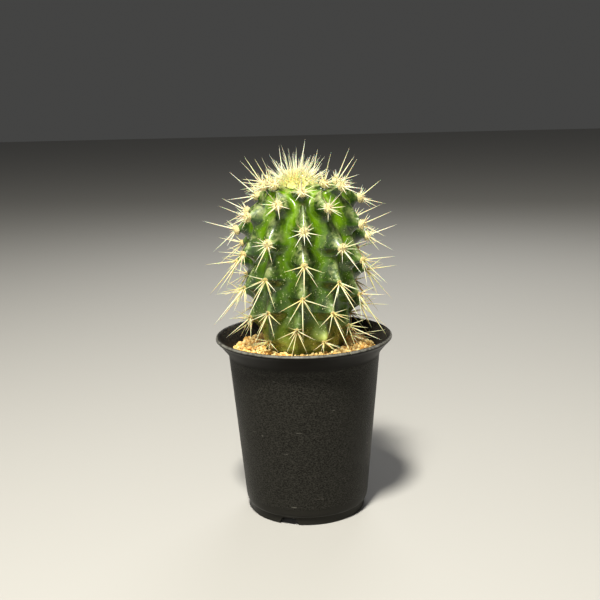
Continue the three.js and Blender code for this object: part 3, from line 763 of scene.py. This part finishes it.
def wrapped(name, rows, columns):
    """A closed skin through rings at each row's station and lift, with a pole at both ends."""
    angles = np.arange(columns) * 360.0 / columns
    inner = np.array(rows[1:-1], float)
    rings = on_stem(angles[None, :], inner[:, :1], inner[:, 1:2])
    poles = [on_stem(0.0, n, lift) for n, lift in (rows[0], rows[-1])]
    points = np.vstack([poles[0][None], rings.reshape(-1, 3), poles[1][None]])
    c = np.arange(columns)
    after = (c + 1) % columns
    starts = 1 + np.arange(len(inner) - 1)[:, None] * columns
    quads = np.stack([starts + c, starts + after, starts + columns + after, starts + columns + c], axis=-1)
    top = 1 + (len(inner) - 1) * columns
    faces = [(0, 1 + b, 1 + a) for a, b in zip(c.tolist(), after.tolist())]
    faces += quads.reshape(-1, 4).tolist()
    faces += [(top + a, top + b, len(points) - 1) for a, b in zip(c.tolist(), after.tolist())]
    return new_piece(name, points, faces=faces)


def keep(piece, **attributes):
    """Keeps named numbers or directions at a piece's points, for its tree and its finish to read."""
    for label, values in attributes.items():
        kind, key = ("FLOAT_VECTOR", "vector") if np.ndim(values) > 1 else ("FLOAT", "value")
        layer = piece.data.attributes.new(label, kind, "POINT")
        layer.data.foreach_set(key, np.asarray(values, np.float32).ravel())
    return piece


stem_rows = int((TIP_STATION - NECK_TOP) * SKIN_ROWS_PER_STATION) + 1
skin_rows = [(n, 0.0) for n in np.linspace(FIRST_STATION, NECK_TOP, NECK_ROWS)]
skin_rows += [(n, 0.0) for n in np.linspace(NECK_TOP, TIP_STATION, stem_rows)[1:]]
skin = wrapped("cactus_skin", skin_rows, SKIN_COLUMNS)
inner_n = np.repeat([n for n, _ in skin_rows[1:-1]], SKIN_COLUMNS)
inner_angle = np.tile(np.arange(SKIN_COLUMNS) * 360.0 / SKIN_COLUMNS, len(skin_rows) - 2)
stands, crest = tubercle_shares(inner_angle, inner_n)
swollen = swelling(inner_angle, inner_n)
marks = {"stands": stands, "crest": crest, "age": 1 - inner_n / LAST_RING, "swollen": swollen}
keep(skin, **{label: np.pad(values, 1, "edge") for label, values in marks.items()})
print("skin has", len(skin.data.vertices), "points in", len(skin_rows), "rows")

# %% [markdown]
# The flesh is a deep waxy green, mottled darker away from the grooves. Young growth keeps the upper grooves
# yellow-green, and the crests carry a paler bloom. Painted highlights lie pale on the up-facing slopes above
# the pads, and painted glints lie as small white spots near the crests. The old base has turned pale and
# corky, with painted shade deep in its grooves. Tiny pale scars are scattered over the lower half. A clear
# coat gives the wax its glints, and a little scattering makes the flesh look full of water.

# %% Waxy cactus skin
def waxy_skin():
    material, tree, place = new_finish("waxy_skin")
    stands_out, on_crest, age = (attribute(tree, label) for label in ("stands", "crest", "age"))
    mottle, patches = noise(place, 230.0, 6.0, 0.8), noise(place, 90.0, 4.0, 0.6)
    deep = maths("ADD", spread(mottle, 0.36, 0.68, 0.0, 0.6), spread(stands_out, 0.12, 0.50, 0.0, 0.6))
    uneven = maths("ADD", times(patches, 0.5), times(mottle, 0.16))
    groove = maths("SUBTRACT", maths("ADD", stands_out, uneven), 0.33)
    young = spread(age, 0.66, 0.15, 0.12, 1.0)
    fresh = times(spread(groove, 0.34, 0.08, 0.0, 0.9), young)
    edge = spread(maths("ABSOLUTE", maths("SUBTRACT", groove, 0.32)), 0.06, 0.01)
    edge = times(edge, times(spread(patches, 0.42, 0.56, 0.0, 0.35), young))
    cloudy = spread(noise(place, 150.0, 5.0, 1.0), 0.36, 0.60, 0.25, 1.0)
    bloom = times(spread(stands_out, 0.54, 0.94, 0.0, 0.9), cloudy)
    crest = times(on_crest, times(cloudy, 0.7))
    # Painted glints: small white spots near the crest lines.
    painted_glints = times(spread(noise(place, 620.0, 3.0, 0.5), 0.56, 0.68), spread(on_crest, 0.25, 0.9, 0.0, 0.9))
    facing = upward(add(tree, "ShaderNodeNewGeometry").outputs["Normal"])
    # Painted highlights: pale patches on the up-facing slopes of the tubercles, above the pads.
    slope = times(spread(facing, 0.12, 0.65, 0.0, 0.8), spread(stands_out, 0.2, 0.7, 0.5, 1.0))
    painted_slope_highlights = times(slope, spread(noise(place, 300.0, 5.0, 0.6), 0.42, 0.66))
    cork = times(spread(age, 0.82, 1.04), spread(mottle, 0.35, 0.6, 0.35, 0.9),
                 spread(groove, 0.10, 0.70, 1.0, 0.45))
    # Painted shade: darker olive deep in the grooves of the old base.
    painted_groove_shade = times(spread(groove, 0.24, 0.04, 0.0, 0.6), spread(age, 0.55, 0.95))
    color = paint(srgb(68, 104, 0), (deep, 21, 47, 0), (fresh, 114, 160, 0), (edge, 146, 186, 30),
                  (bloom, 76, 112, 26), (crest, 138, 166, 98), (painted_glints, 226, 234, 206),
                  (painted_slope_highlights, 208, 218, 146), (cork, 172, 194, 88), (painted_groove_shade, 52, 62, 12),
                  (attribute(tree, "swollen"), 190, 202, 110))
    for size, spots, strength in ((420.0, 0.18, 0.85), (900.0, 0.25, 0.7)):
        few = spread(noise(place, size / 4, 2.0), 0.45, 0.58)
        worn = times(few, spread(age, 0.1, 0.5, 0.0, strength))
        scars = times(spread(cells(place, size), spots, spots / 2), worn)
        color = paint(color, (scars, 206, 214, 160))
    dimples = maths("ADD", times(noise(place, 380.0), 1.2), times(noise(place, 1000.0, 4.0), 0.5))
    return finished(material, {
        "Base Color": color, "Roughness": spread(mottle, 0.3, 0.7, 0.26, 0.50),
        "Normal": relief(dimples, 0.4, 0.0007), "Specular IOR Level": 0.2,
        "Subsurface Weight": 0.08, "Subsurface Radius": (0.8, 1.0, 0.2), "Subsurface Scale": 0.002,
        "Coat Weight": 0.8, "Coat Roughness": 0.2})


skin.data.materials.append(waxy_skin())
finish_piece(skin, "cactus")

# %% [markdown]
# ## Pads, and the way that their spines point
# Each tubercle ends in an areole: a pad of felt that the spines grow out of. On the young upper half the pads
# are fat and woolly. Low down they have worn to small tan points. A pad has axes of its own, across the rib,
# up the rib and out along the tubercle, and each spine is a direction in those axes. Low on the plant the
# spines fan down like the ribs of an umbrella, and some of those that pointed up are gone.

# %% The pads
OLD_PAD, YOUNG_PAD, PAD_FLATNESS = 1.2, 2.4, 0.7
MAX_DROOP = 27.0
UP = Vector((0, 0, 1))


def draw(a, b=0, c=0):
    """A steady random number from 0 to 1 for each set of three numbers."""
    value = math.sin(a * 12.9898 + b * 78.233 + c * 37.719) * 43758.5453
    return value - math.floor(value)


def youth(n):
    """From 0 for the old areoles below to 1 for the young ones above."""
    return part((n - 4.5) / 1.5)


def areole_axes(rib, n):
    """The directions across, up and out of one areole. The older it is, the more it looks down."""
    azimuth = float(azimuth_of(rib * RIB_SPACING, n))
    across = Vector((math.cos(azimuth), math.sin(azimuth), 0))
    droop = math.radians(MAX_DROOP) * part((8 - n) / 4)
    facing = 0.85 * float(rise(grown_to(rib * RIB_SPACING, n))) - droop
    level = Vector((math.sin(azimuth), -math.cos(azimuth), 0))
    out = level * math.cos(facing) + UP * math.sin(facing)
    return across, out.cross(across), out


areoles = []
for n in range(LAST_RING + 1):
    for rib in range(RIBS):
        if has_areole(rib, n):
            size = OLD_PAD + (YOUNG_PAD - OLD_PAD) * youth(n)
            areoles.append((rib, n, Vector(on_stem(rib * RIB_SPACING, n)), areole_axes(rib, n), size))
print(len(areoles), "areoles, the widest", round(2 * max(size for *_, size in areoles), 1), "mm across")

# %% [markdown]
# ## A tree for pads, and one for quills
# Both read loose points that keep their sizes and aims, and turn each copy to its point's aim. The pad tree
# puts a small ball on each point, flattens it along the way it faces, and roughens it with noise.

# %% The pad tree
def named(tree, name, kind="FLOAT"):
    return add(tree, "GeometryNodeInputNamedAttribute", {"Name": name}, data_type=kind).outputs["Attribute"]


def aimed(tree):
    """The rotation that turns Z towards each point's aim."""
    aim = named(tree, "aim", "FLOAT_VECTOR")
    return chain("FunctionNodeAlignRotationToVector", {"Vector": aim}, axis="Z").outputs[0]


def combined(x, y, z):
    return chain("ShaderNodeCombineXYZ", {0: x, 1: y, 2: z}).outputs[0]


def pad_tree():
    tree, given = new_geometry_tree("felt_pads", "Points", {
        "Material": None, "Flatness": PAD_FLATNESS, "Lumps": 0.35, "Lump Scale": 900.0})
    ball = add(tree, "GeometryNodeMeshIcoSphere", {"Radius": 1.0, "Subdivisions": 4}).outputs["Mesh"]
    size = named(tree, "size")
    scale = combined(size, size, times(size, given["Flatness"]))
    pads = copies(given["Points"], ball, aimed(tree), scale)
    return deliver(tree, given, roughened(pads, given["Lump Scale"], 3.0, times(size, given["Lumps"])))


# %% [markdown]
# The quill tree makes one pointed rod, stands a copy on each point, and bows it a little. Each copy keeps how
# far along its length a place is, so that the finish can run from a yellow foot to a pale tip. Spines, felt
# and wool all use this one tree, with other sides, segments and tapers.

# %% The quill tree
def quill_tree():
    inputs = {"Material": None, "Sides": 6, "Segments": 5, "Taper": 0.8}
    tree, given = new_geometry_tree("quills", "Points", inputs)
    rod = chain("GeometryNodeMeshCylinder", {"Vertices": given["Sides"], "Side Segments": given["Segments"],
                                             "Radius": 1.0, "Depth": 1.0}, fill_type="NGON").outputs["Mesh"]
    corner = chain("ShaderNodeSeparateXYZ", {0: add(tree, "GeometryNodeInputPosition").outputs[0]}).outputs
    along = maths("ADD", corner["Z"], 0.5)
    width = maths("POWER", maths("SUBTRACT", 1.01, named(tree, "along")), given["Taper"])
    shape = combined(times(corner["X"], width), times(corner["Y"], width), along)
    pointed = moved(marked(rod, "along", along), "Position", shape)
    girth = named(tree, "girth")
    scale = combined(girth, girth, named(tree, "reach"))
    quills = copies(given["Points"], pointed, aimed(tree), scale)
    bow = scaled(named(tree, "bow", "FLOAT_VECTOR"), maths("POWER", named(tree, "along"), 2.0))
    return deliver(tree, given, moved(quills, "Offset", bow))


QUILLS = quill_tree()
print("the quill tree has", len(QUILLS.nodes), "nodes")

# %% [markdown]
# Spines are dry, like straw made of horn: pale cream and a little translucent, with a yellow or amber foot.
# Felt is a tangle of short hairs, so it has no gloss and a soft sheen. On the oldest pads it has gone tan.

# %% Spines and felt
def horny_spine():
    material, tree, place = new_finish("horny_spine")
    along, tone, streaks = attribute(tree, "along"), attribute(tree, "tone"), noise(place, 1500.0)
    foot = spread(along, 0.0, maths("ADD", times(tone, 0.25), 0.08), 1.0, 0.0)
    color = paint(srgb(255, 252, 228), (tone, 242, 229, 160), (times(foot, 0.6), 236, 212, 120),
                  (spread(streaks, 0.45, 0.75, 0.0, 0.3), 240, 228, 180))
    return finished(material, {"Base Color": color, "Roughness": 0.38, "Normal": relief(streaks, 0.3, 0.0001),
                               "Subsurface Weight": 0.25, "Subsurface Scale": 0.001})


def pad_felt():
    material, tree, place = new_finish("pad_felt")
    fluff = noise(place, 3500.0, 4.0)
    young = paint(srgb(228, 206, 132), (spread(fluff, 0.35, 0.65), 250, 240, 184))
    color = blend_colors(attribute(tree, "tone"), srgb(212, 190, 116), young)
    return finished(material, {"Base Color": color, "Roughness": 0.95, "Normal": relief(fluff, 0.8, 0.0004),
                               "Sheen Weight": 0.5})


FELT, HORN = pad_felt(), horny_spine()
felt = keep(new_piece("areole_felt", [place for _, _, place, _, _ in areoles]),
            aim=[axes[2] for *_, axes, _ in areoles], size=[size * MM for *_, size in areoles],
            tone=[youth(n) for _, n, *_ in areoles])
grow(felt, pad_tree(), Material=FELT)
finish_piece(felt, "cactus")

# %% [markdown]
# Young felt stands up in short soft hairs, which break the pad's outline. They are the quill tree with few
# sides.

# %% The felt's hairs
FELT_HAIRS, FELT_HAIR_LEAN, FELT_HAIR_TURN, FELT_HAIR_GIRTH, WOOLLY_FROM = 75, 1.75, 2.4, 0.10, 5


def astray(*seeds):
    """A random push, from the three sets of numbers for its three directions."""
    return Vector([draw(*seed) for seed in seeds]) - Vector((0.5, 0.5, 0.5))


def quill_cloud(name, quills, bow=0.04):
    """Points for the quill tree, from the root, aim, length, girth and tone of each quill, in mm."""
    roots, aims, lengths, girths, tones = zip(*quills)
    bows = [astray((k, 1), (k, 2), (k, 3)) * bow * length * MM for k, length in enumerate(lengths)]
    return keep(new_piece(name, roots), aim=aims, bow=bows, reach=np.array(lengths) * MM,
                girth=np.array(girths) * MM, tone=tones)


def felt_hairs(rib, n, place, axes, size):
    hairs = []
    for k in range(FELT_HAIRS):
        lean, turned = FELT_HAIR_LEAN * math.sqrt((k + 0.5) / FELT_HAIRS), k * FELT_HAIR_TURN
        level = axes[0] * math.cos(turned) + axes[1] * math.sin(turned)
        foot = place + (level * math.sin(lean) + axes[2] * (PAD_FLATNESS * math.cos(lean))) * size * 0.85
        loose = astray((k, rib, n), (k, n, rib), (k, rib, n + 9))
        aim = (level * math.sin(lean) + axes[2] * (math.cos(lean) + 0.3) + loose * 0.9).normalized()
        length, tone = size * (0.35 + 0.4 * draw(rib, n, k)), 0.55 + 0.45 * draw(k, rib)
        hairs.append((foot, aim, length, FELT_HAIR_GIRTH, tone))
    return hairs


woolly = [hair for areole in areoles if areole[1] >= WOOLLY_FROM for hair in felt_hairs(*areole)]
fuzz = quill_cloud("areole_hairs", woolly, 0.5)
grow(fuzz, QUILLS, Material=FELT, Sides=3, Segments=2, Taper=0.5)
finish_piece(fuzz, "cactus")

# %% [markdown]
# ## The spines
# Every areole has a long spine that points outwards and a little down, another that points a little up, and
# four pairs that fan out to its sides. The young ones have three short ones above them too, and some old ones
# have lost an upper one. A table of lengths and leans says all of this more shortly than code could.

# %% Which way each spine points
SPINE_GIRTH = 0.34
UPPER_PAIR, LOST_UP_TO, LOST_SHARE = (6, 7), 5, 0.35
SIDE_SPINES = ((14.5, 50, 38), (12.5, 60, 84), (10, 57, 146), (8.5, 38, 60))
SHORT_SPINES = [(5, 66, 180), (5.5, 70, 112), (5.5, 70, -112)]


def aim_in(axes, lean, round_deg):
    """A direction that leans from straight out to a side, which is counted from straight down."""
    across, up, out = axes
    lean, turned = math.radians(lean), math.radians(round_deg)
    aside, down = math.sin(lean) * math.sin(turned), math.sin(lean) * math.cos(turned)
    return across * aside - up * down + out * math.cos(lean)


def spine_plan(n):
    """Length, lean and side of each spine of an areole in ring n. Lengths in mm, angles in degrees."""
    short = 1 - 0.4 * youth(n)
    plan = [(13.5 + 9.5 * part((7 - n) / 3), 22, 0), (15.5, 28, 180)]
    plan += [(length * short, lean, side * turned)
             for length, lean, turned in SIDE_SPINES for side in (-1, 1)]
    return plan + SHORT_SPINES if n > LOST_UP_TO else plan


print("an old areole has up to", len(spine_plan(0)), "spines and a young one", len(spine_plan(LAST_RING)))

# %% [markdown]
# The lowest spines would run into the pot and the granules. Each of them is tried along its length first, and
# leans away, or is shorter, until it is clear.

# %% Keeping spines clear of the pot
TRIED_UP_TO, TRIED_SHARES, TRIED_LEANS, TRIED_PLACES = 3, (1, 0.8, 0.6, 0.45), 16, 8
POT_CLEARANCE, GRANULE_TOPS, FLARE_SLOPE = 0.8, 88.6, 0.62


def pot_room(place):
    """Whether a place in mm is clear of the pot's wall and lip and of the granules."""
    r, z = math.hypot(place.x, place.y), place.z
    if z > POT_HEIGHT + POT_CLEARANCE or r > LIP_RADIUS + 1:
        return True
    inner = NECK_RADIUS - WALL + max(0.0, z - NECK_HEIGHT - 2) * FLARE_SLOPE
    return r < inner - POT_CLEARANCE and z > GRANULE_TOPS


def clear_aim(root, aim, length):
    """The nearest aim to the wanted one, and the longest length, that keep a spine clear of the pot."""
    away = Vector((root.x - PLANT_X, root.y, 0)).normalized().lerp(UP, 0.35).normalized()
    for share in TRIED_SHARES:
        distances = [length * share * k / TRIED_PLACES for k in range(2, TRIED_PLACES + 2)]
        for step in range(TRIED_LEANS):
            tried = aim.lerp(away, step / (TRIED_LEANS - 1)).normalized()
            if all(pot_room(root + tried * distance) for distance in distances):
                return tried, length * share
    return None, 0


# %% [markdown]
# Each spine of the plan is then varied in length, lean and side, and rooted a little inside the pad, on the
# side that it points to. The old ones are more yellow than the young ones.

# %% The spines
spines = []
for rib, n, place, axes, size in areoles:
    reach = min(1.0, 0.72 + 0.1 * n)
    for k, (length, lean, side) in enumerate(spine_plan(n)):
        if k in UPPER_PAIR and n <= LOST_UP_TO and draw(rib, n, k + 80) < LOST_SHARE:
            continue
        aim = aim_in(axes, lean + 12 * (draw(rib, n, k + 20) - 0.5), side + 17 * (draw(rib, n, k) - 0.5))
        length *= reach * (0.84 + 0.32 * draw(rib, n, k + 40))
        root = place + axes[2] * size * 0.3 + (aim - axes[2] * aim.dot(axes[2])) * size * 0.4
        aim, length = clear_aim(root, aim, length) if n <= TRIED_UP_TO else (aim, length)
        if length:
            tone = 0.6 * draw(rib, n, k + 60) + 0.4 - 0.3 * youth(n)
            spines.append((root, aim, length, SPINE_GIRTH * (0.75 + 0.02 * length), tone))
print(len(spines), "spines, the longest", round(max(spine[2] for spine in spines), 1), "mm")

spiny = quill_cloud("areole_spines", spines)
grow(spiny, QUILLS, Material=HORN, Sides=6, Segments=6, Taper=0.8)
finish_piece(spiny, "cactus")

# %% [markdown]
# ## The crown
# The growing tip is hidden under a cushion of yellow wool, with young spines standing in it like a tuft of
# straw. The cushion is wrapped round the same stations as the skin. Its hairs are the quill tree again, on
# points that a sunflower pattern spreads evenly over it, and so are its spines.

# %% The wool's cushion
WOOL_UNDERSIDE = [(n, 0.35) for n in (12, 11.6, 11.2, 10.9)]
WOOL_TOP = [(10.95, 1.4), (11.2, 3.7), (11.55, 6.4), (12, 7.6)]
WOOL_STEPS, WOOL_COLUMNS = 6, 120


def wool_rows():
    """The cushion's rows, each a station and how far it is lifted off the skin, in mm."""
    rows = WOOL_UNDERSIDE[:]
    line = [WOOL_UNDERSIDE[-1]] + WOOL_TOP
    for (n0, lift0), (n1, lift1) in zip(line, line[1:]):
        rows += [(n0 + (n1 - n0) * k / WOOL_STEPS, lift0 + (lift1 - lift0) * k / WOOL_STEPS)
                 for k in range(1, WOOL_STEPS + 1)]
    return rows


wool = wrapped("crown_wool", wool_rows(), WOOL_COLUMNS)
print("cushion is", round(wool.dimensions.x / MM, 1), "mm wide")

# %% [markdown]
# Wool is built from hairs, each a quill with three sides and a strong bow. The young spines are quills too: a
# tuft of long ones near the middle, and many short thin ones between them.

# %% The wool's hairs and the young spines
GOLDEN_ANGLE = math.pi * (3 - math.sqrt(5))
WOOL_HAIRS, WOOL_REACH = 1900, 9.8
TUFT_SPINES, TUFT_REACH, TUFT_ROOT = 34, 7.0, 4.0
SHORT_YOUNG, SHORT_YOUNG_REACH = 120, 9.4


def crown_top(r):
    """The height of the wool's surface at a distance from its middle."""
    return 174.0 - 4.6 * (r / 10) ** 2.4


def crown_quills(count, edge, girth, sink, length_of, lean_of):
    """Quills in a sunflower pattern. length_of and lean_of take a quill's number and how far out it is."""
    quills = []
    for k in range(count):
        share = math.sqrt((k + 0.5) / count)
        azimuth, r = k * GOLDEN_ANGLE, edge * share
        level = Vector((math.sin(azimuth), -math.cos(azimuth), 0))
        lean = math.radians(lean_of(k, share))
        aim = (level * math.sin(lean) + UP * math.cos(lean)).normalized()
        root = level * r + Vector((PLANT_X - TIP_LEAN, 0, crown_top(r) - sink))
        quills.append((root, aim, length_of(k, share), girth * (0.8 + 0.4 * draw(k, 9)), 0.35 * draw(k, 11)))
    return quills


hairs = crown_quills(WOOL_HAIRS, WOOL_REACH, 0.14, 0.4,
                     lambda k, s: (1.2 + 1.8 * draw(k, 5)) * (1.2 - 0.4 * s),
                     lambda k, s: 70 * s + 80 * (draw(k, 4) - 0.5))
young = crown_quills(TUFT_SPINES, TUFT_REACH, 0.30, TUFT_ROOT,
                     lambda k, s: 21 if k % 4 == 1 else 10 + 6 * draw(k, 7),
                     lambda k, s: 8 + 42 * s + 10 * (draw(k, 3) - 0.5))
young += crown_quills(SHORT_YOUNG, SHORT_YOUNG_REACH, 0.25, 1.5,
                      lambda k, s: 4 + 8 * draw(k, 17),
                      lambda k, s: 8 + 56 * s + 30 * (draw(k, 13) - 0.5))
print(len(hairs), "hairs and", len(young), "young spines")

# %% [markdown]
# The wool is felt of a stronger yellow, and its hairs fade towards their tips, where the light comes through
# them.

# %% Crown felt, and the crown's pieces
def crown_felt():
    material, tree, place = new_finish("crown_felt")
    fluff = noise(place, 1800.0, 4.0)
    color = paint(srgb(255, 242, 126), (spread(fluff, 0.35, 0.65), 255, 252, 186),
                  (times(attribute(tree, "along"), 0.6), 255, 252, 216))
    return finished(material, {"Base Color": color, "Roughness": 0.9, "Normal": relief(fluff, 0.8, 0.0005),
                               "Sheen Weight": 0.4, "Subsurface Weight": 0.2, "Subsurface Scale": 0.001})


WOOL = crown_felt()
wool.data.materials.append(WOOL)
finish_piece(wool, "crown")
tuft = quill_cloud("crown_hairs", hairs, 0.3)
grow(tuft, QUILLS, Material=WOOL, Sides=3, Segments=3, Taper=0.6)
finish_piece(tuft, "crown")
top_spines = quill_cloud("crown_spines", young)
grow(top_spines, QUILLS, Material=HORN, Sides=6, Segments=5, Taper=0.8)
finish_piece(top_spines, "crown")
